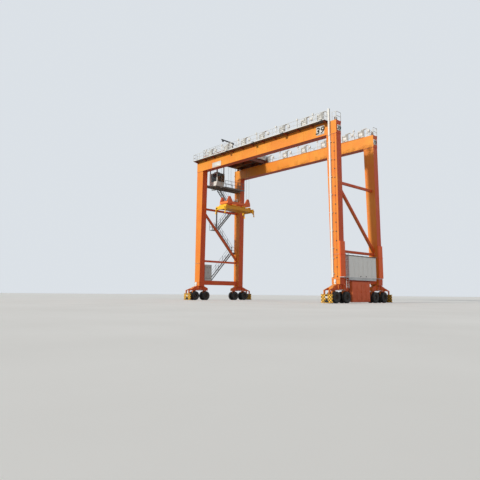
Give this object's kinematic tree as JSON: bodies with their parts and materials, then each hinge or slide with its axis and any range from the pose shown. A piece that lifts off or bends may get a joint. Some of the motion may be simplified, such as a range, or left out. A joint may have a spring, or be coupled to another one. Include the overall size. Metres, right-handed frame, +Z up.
{
  "type": "rubber tyred gantry crane",
  "caption": "Orange rubber tyred gantry crane with box girders on tapered legs, a trolley with cabin and telescopic container spreader, side stair and electrical house.",
  "frame": {"origin": "on the ground, in the middle of the four corners", "axes": "+X across the container lane from the stair side to the electrical house side, +Y along the travel from the front portal to the rear portal, +Z up"},
  "size_m": [29.33, 13.1162, 25.12],
  "materials": {
    "paint_orange": "sun-bleached semi-gloss orange paint",
    "house_grey": "satin light grey paint",
    "galvanised": "galvanised, dull",
    "bare_steel": "worn bright on the running surface",
    "white_paint": "semi-gloss white paint",
    "glass": "tinted",
    "dark_paint": "dark grey paint",
    "wire_rope": "greased steel wire rope",
    "safety_yellow": "safety yellow paint, scuffed",
    "machine_red": "machine enamel",
    "tyre": "dusty rubber on painted wheels"
  },
  "bodies": {
    "gantry": {"girder_front": "paint_orange", "girder_rear": "paint_orange", "crane_rails": "bare_steel", "leg_left_front": "paint_orange", "leg_right_front": "paint_orange", "leg_left_rear": "paint_orange", "leg_right_rear": "paint_orange", "sill_beams": "paint_orange", "side_bracing_left": "paint_orange", "side_bracing_right": "paint_orange", "bogie_beams_left": "paint_orange", "bogie_beams_right": "paint_orange", "bumpers": "safety_yellow", "electrical_house": "house_grey", "house_platform": "galvanised", "generator_enclosure": "paint_orange", "sill_cabinet": "house_grey", "cable_conduit": "white_paint", "walkway_front": "galvanised", "walkway_rear": "galvanised", "access_ladders": "galvanised", "stair_flight_1": "galvanised", "stair_flight_2": "galvanised", "stair_flight_3": "galvanised", "stair_flight_4": "galvanised", "stair_landings": "galvanised", "cabin_landing": "galvanised", "landing_beams": "paint_orange"},
    "fork_left_front_outer": {"fork_left_front_outer": "paint_orange"},
    "wheels_left_front_outer": {"wheels_left_front_outer": "tyre"},
    "fork_left_front_inner": {"fork_left_front_inner": "paint_orange"},
    "wheels_left_front_inner": {"wheels_left_front_inner": "tyre"},
    "fork_left_rear_outer": {"fork_left_rear_outer": "paint_orange"},
    "wheels_left_rear_outer": {"wheels_left_rear_outer": "tyre"},
    "fork_left_rear_inner": {"fork_left_rear_inner": "paint_orange"},
    "wheels_left_rear_inner": {"wheels_left_rear_inner": "tyre"},
    "fork_right_front_outer": {"fork_right_front_outer": "paint_orange"},
    "wheels_right_front_outer": {"wheels_right_front_outer": "tyre"},
    "fork_right_front_inner": {"fork_right_front_inner": "paint_orange"},
    "wheels_right_front_inner": {"wheels_right_front_inner": "tyre"},
    "fork_right_rear_outer": {"fork_right_rear_outer": "paint_orange"},
    "wheels_right_rear_outer": {"wheels_right_rear_outer": "tyre"},
    "fork_right_rear_inner": {"fork_right_rear_inner": "paint_orange"},
    "wheels_right_rear_inner": {"wheels_right_rear_inner": "tyre"},
    "trolley": {"trolley_frame": "paint_orange", "trolley_wheels": "bare_steel", "hoist_machinery": "machine_red", "trolley_house": "white_paint", "service_jib": "dark_paint", "trolley_handrails": "galvanised", "cabin": "white_paint", "cabin_glazing": "glass", "hoist_ropes": "wire_rope"},
    "headblock": {"headblock": "paint_orange", "spreader_frame": "safety_yellow"},
    "spreader_arm_front": {"spreader_arm_front": "safety_yellow"},
    "guide_arms_front": {"guide_arms_front": "safety_yellow"},
    "spreader_arm_rear": {"spreader_arm_rear": "safety_yellow"},
    "guide_arms_rear": {"guide_arms_rear": "safety_yellow"}
  },
  "joints": [
    {"name": "steer_left_front_outer", "type": "hinge", "parent": "gantry", "child": "fork_left_front_outer", "pos_m": [-13.235, -5.21, 1.4], "axis": [0, 0, 1], "range_deg": [0, 90]},
    {"name": "roll_left_front_outer", "type": "hinge", "parent": "fork_left_front_outer", "child": "wheels_left_front_outer", "pos_m": [-13.235, -5.21, 0.685], "axis": [1, 0, 0], "continuous": true},
    {"name": "steer_left_front_inner", "type": "hinge", "parent": "gantry", "child": "fork_left_front_inner", "pos_m": [-13.235, -3.11, 1.4], "axis": [0, 0, 1], "range_deg": [0, 90]},
    {"name": "roll_left_front_inner", "type": "hinge", "parent": "fork_left_front_inner", "child": "wheels_left_front_inner", "pos_m": [-13.235, -3.11, 0.685], "axis": [1, 0, 0], "continuous": true},
    {"name": "steer_left_rear_outer", "type": "hinge", "parent": "gantry", "child": "fork_left_rear_outer", "pos_m": [-13.235, 5.21, 1.4], "axis": [0, 0, 1], "range_deg": [0, 90]},
    {"name": "roll_left_rear_outer", "type": "hinge", "parent": "fork_left_rear_outer", "child": "wheels_left_rear_outer", "pos_m": [-13.235, 5.21, 0.685], "axis": [1, 0, 0], "continuous": true},
    {"name": "steer_left_rear_inner", "type": "hinge", "parent": "gantry", "child": "fork_left_rear_inner", "pos_m": [-13.235, 3.11, 1.4], "axis": [0, 0, 1], "range_deg": [0, 90]},
    {"name": "roll_left_rear_inner", "type": "hinge", "parent": "fork_left_rear_inner", "child": "wheels_left_rear_inner", "pos_m": [-13.235, 3.11, 0.685], "axis": [1, 0, 0], "continuous": true},
    {"name": "steer_right_front_outer", "type": "hinge", "parent": "gantry", "child": "fork_right_front_outer", "pos_m": [13.235, -5.21, 1.4], "axis": [0, 0, 1], "range_deg": [0, 90]},
    {"name": "roll_right_front_outer", "type": "hinge", "parent": "fork_right_front_outer", "child": "wheels_right_front_outer", "pos_m": [13.235, -5.21, 0.685], "axis": [1, 0, 0], "continuous": true},
    {"name": "steer_right_front_inner", "type": "hinge", "parent": "gantry", "child": "fork_right_front_inner", "pos_m": [13.235, -3.11, 1.4], "axis": [0, 0, 1], "range_deg": [0, 90]},
    {"name": "roll_right_front_inner", "type": "hinge", "parent": "fork_right_front_inner", "child": "wheels_right_front_inner", "pos_m": [13.235, -3.11, 0.685], "axis": [1, 0, 0], "continuous": true},
    {"name": "steer_right_rear_outer", "type": "hinge", "parent": "gantry", "child": "fork_right_rear_outer", "pos_m": [13.235, 5.21, 1.4], "axis": [0, 0, 1], "range_deg": [0, 90]},
    {"name": "roll_right_rear_outer", "type": "hinge", "parent": "fork_right_rear_outer", "child": "wheels_right_rear_outer", "pos_m": [13.235, 5.21, 0.685], "axis": [1, 0, 0], "continuous": true},
    {"name": "steer_right_rear_inner", "type": "hinge", "parent": "gantry", "child": "fork_right_rear_inner", "pos_m": [13.235, 3.11, 1.4], "axis": [0, 0, 1], "range_deg": [0, 90]},
    {"name": "roll_right_rear_inner", "type": "hinge", "parent": "fork_right_rear_inner", "child": "wheels_right_rear_inner", "pos_m": [13.235, 3.11, 0.685], "axis": [1, 0, 0], "continuous": true},
    {"name": "trolley_travel", "type": "slide", "parent": "gantry", "child": "trolley", "axis": [1, 0, 0], "range_m": [-0.3, 19.2]},
    {"name": "hoist", "type": "slide", "parent": "trolley", "child": "headblock", "axis": [0, 0, 1], "range_m": [-13.2, 4.2], "deforming": ["hoist_ropes"]},
    {"name": "telescope_front", "type": "slide", "parent": "headblock", "child": "spreader_arm_front", "axis": [0, -1, 0], "range_m": [0, 3.05]},
    {"name": "telescope_rear", "type": "slide", "parent": "headblock", "child": "spreader_arm_rear", "axis": [0, 1, 0], "range_m": [0, 3.05]},
    {"name": "guides_front", "type": "hinge", "parent": "spreader_arm_front", "child": "guide_arms_front", "pos_m": [-9.6, -3.105, 14.43], "axis": [-1, 0, 0], "range_deg": [0, 170]},
    {"name": "guides_rear", "type": "hinge", "parent": "spreader_arm_rear", "child": "guide_arms_rear", "pos_m": [-9.6, 3.105, 14.43], "axis": [1, 0, 0], "range_deg": [0, 170]}
  ],
  "couplings": [
    {"joint": "steer_left_front_inner", "follows": "steer_left_front_outer", "ratio": 1},
    {"joint": "steer_left_rear_outer", "follows": "steer_left_front_outer", "ratio": 1},
    {"joint": "steer_left_rear_inner", "follows": "steer_left_front_outer", "ratio": 1},
    {"joint": "steer_right_front_outer", "follows": "steer_left_front_outer", "ratio": 1},
    {"joint": "steer_right_front_inner", "follows": "steer_left_front_outer", "ratio": 1},
    {"joint": "steer_right_rear_outer", "follows": "steer_left_front_outer", "ratio": 1},
    {"joint": "steer_right_rear_inner", "follows": "steer_left_front_outer", "ratio": 1},
    {"joint": "telescope_rear", "follows": "telescope_front", "ratio": 1},
    {"joint": "guides_rear", "follows": "guides_front", "ratio": 1}
  ]
}
